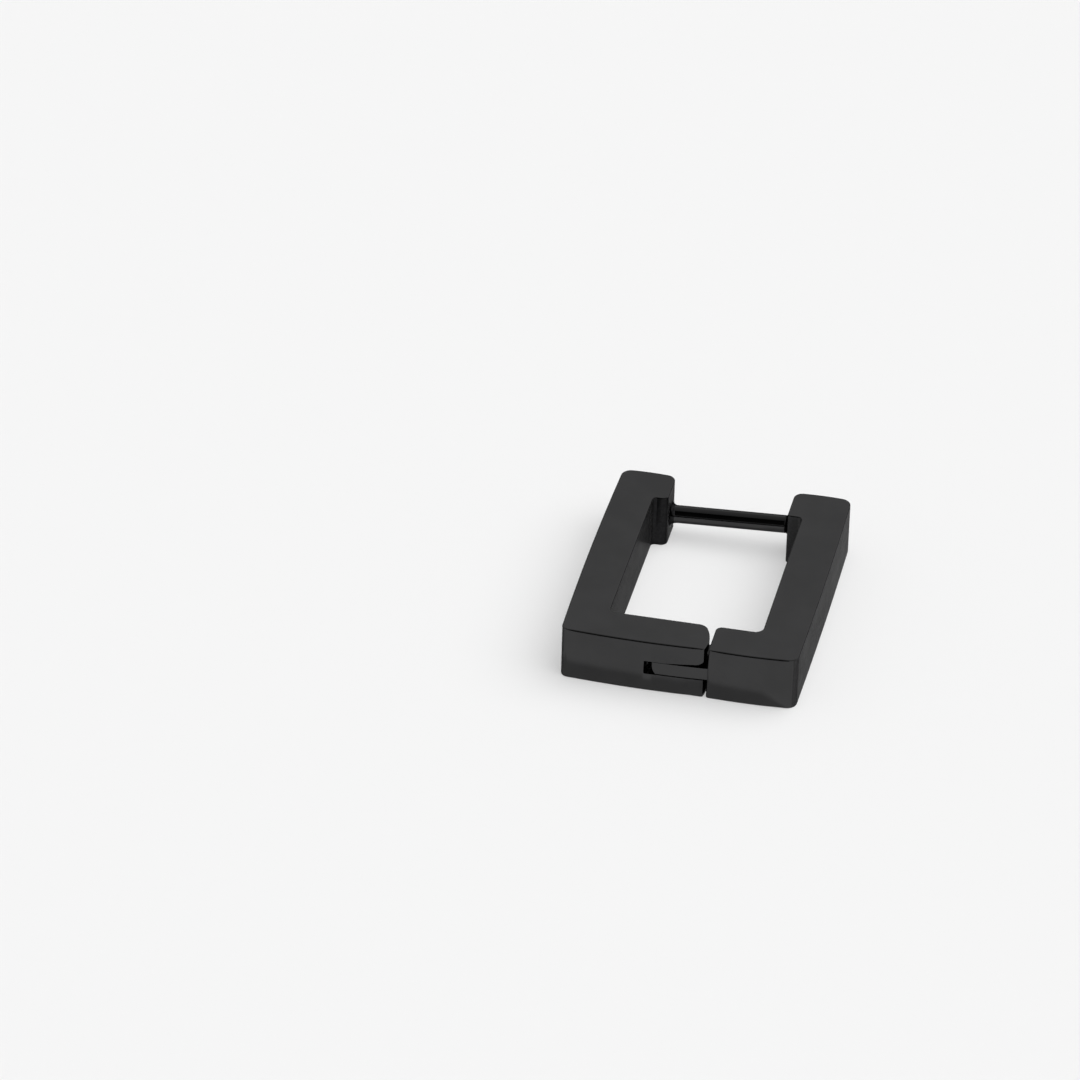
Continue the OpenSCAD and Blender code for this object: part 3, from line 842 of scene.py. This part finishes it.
# The room's grey levels, and the spans of a direction's x, y or z over which they change
roomLook = {
    "seen": 0.9, "fill": 0.22, "frontGlow": 0.34, "backGlow": 0.5, "backSpan": (-0.2, 0.5),
    "standTone": 0.04, "standMiddle": -0.05, "standSpan": (0.2, 0.34), "standFront": (-0.4, -0.2),
    "horizonGlow": 0.24, "horizonSpan": (0.08, 0.3), "rightTones": (0.85, 1.15), "rightSpan": (-0.45, 0.15),
    "overhead": 0.46, "overheadSpan": (0.6, 0.85),
}


# What the metal mirrors above the floor: a glow that grows from front to back, with the camera and its stand as a
# dark column in front, a paler horizon, more light from the right and less from straight above.
def mirroredRoom(nodes, links, direction):
    split = nodes.new("ShaderNodeSeparateXYZ")
    links.new(direction, split.inputs[0])
    x, y, z = split.outputs
    glow = ranged(nodes, links, y, *roomLook["backSpan"], roomLook["frontGlow"], roomLook["backGlow"])
    aside = maths(nodes, links, "ABSOLUTE", maths(nodes, links, "SUBTRACT", x, roomLook["standMiddle"]))
    stand = maths(nodes, links, "MULTIPLY", ranged(nodes, links, y, *roomLook["standFront"], 1, 0),
                  ranged(nodes, links, aside, *roomLook["standSpan"], 1, 0))
    clear = ranged(nodes, links, stand, 0, 1, 1, roomLook["standTone"])
    horizon = ranged(nodes, links, z, *roomLook["horizonSpan"], roomLook["horizonGlow"], 0)
    around = maths(nodes, links, "MAXIMUM", maths(nodes, links, "MULTIPLY", glow, clear), horizon)
    toRight = ranged(nodes, links, x, *roomLook["rightSpan"], *roomLook["rightTones"])
    upwards = ranged(nodes, links, z, *roomLook["overheadSpan"], 1, roomLook["overhead"])
    return maths(nodes, links, "MULTIPLY", around, maths(nodes, links, "MULTIPLY", toRight, upwards))


# The world is a plain grey for the camera, an even fill for the rough faces, and the room for the mirrors.
def makeWorld():
    world = bpy.data.worlds.new("studio")
    scene.world = world
    world.use_nodes = True
    nodes, links = world.node_tree.nodes, world.node_tree.links
    nodes.clear()
    path = nodes.new("ShaderNodeLightPath")
    way = nodes.new("ShaderNodeTexCoord")
    mirrored = nodes.new("ShaderNodeMix")
    links.new(path.outputs["Is Glossy Ray"], mirrored.inputs["Factor"])
    mirrored.inputs["A"].default_value = roomLook["fill"]
    links.new(mirroredRoom(nodes, links, way.outputs["Generated"]), mirrored.inputs["B"])
    seen = nodes.new("ShaderNodeMix")
    links.new(path.outputs["Is Camera Ray"], seen.inputs["Factor"])
    links.new(mirrored.outputs["Result"], seen.inputs["A"])
    seen.inputs["B"].default_value = roomLook["seen"]
    glow = nodes.new("ShaderNodeBackground")
    out = nodes.new("ShaderNodeOutputWorld")
    links.new(seen.outputs["Result"], glow.inputs["Color"])
    links.new(glow.outputs[0], out.inputs["Surface"])


makeWorld()
scene.view_settings.view_transform = "Standard"
print("floor and light set")
